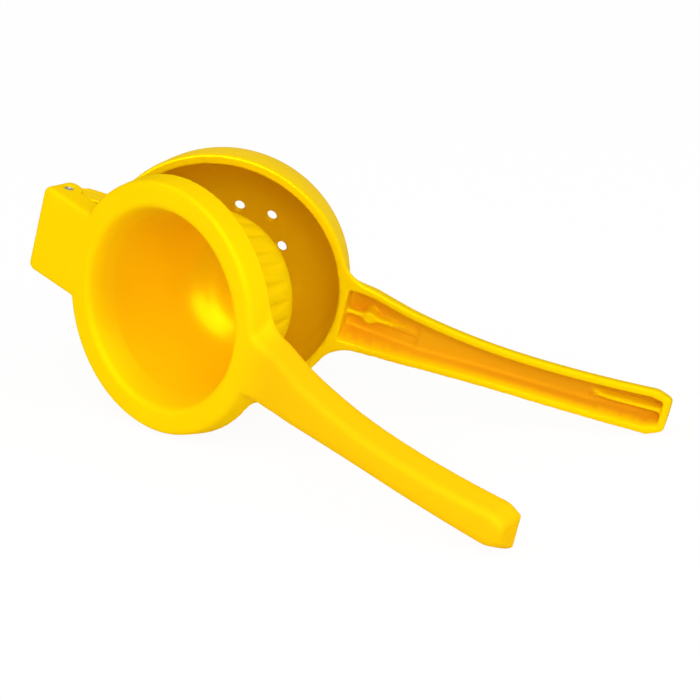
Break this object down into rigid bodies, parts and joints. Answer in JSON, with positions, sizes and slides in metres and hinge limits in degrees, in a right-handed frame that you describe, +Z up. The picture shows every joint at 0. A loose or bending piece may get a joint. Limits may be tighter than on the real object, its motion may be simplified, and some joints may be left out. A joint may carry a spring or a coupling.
{
  "type": "hinged citrus squeezer",
  "caption": "Hinged hand press: a fluted dome swings into a perforated bowl of equal width, each half with a bowed channel-section handle.",
  "frame": {"origin": "centre of the standing squeezer's box, on the surface that its rims and handle ends stand on", "axes": "+X from the hinge towards the handle ends, +Y from the press half towards the strainer bowl, +Z up; the squeezer stands open on its side"},
  "size_m": [0.2021, 0.1238, 0.0838],
  "materials": {
    "enamel": "gloss enamel coat on cast aluminium",
    "pin_steel": "plain pin, ends flush"
  },
  "bodies": {
    "bowl": {"strainer_bowl": "enamel"},
    "press": {"press_half": "enamel", "hinge_pin": "pin_steel"}
  },
  "joints": [
    {"name": "squeeze", "type": "hinge", "parent": "bowl", "child": "press", "pos_m": [-0.09181, -0.00145, 0.05445], "axis": [0.2405, 0, 0.9706], "range_deg": [-83.7, 30.3]}
  ]
}
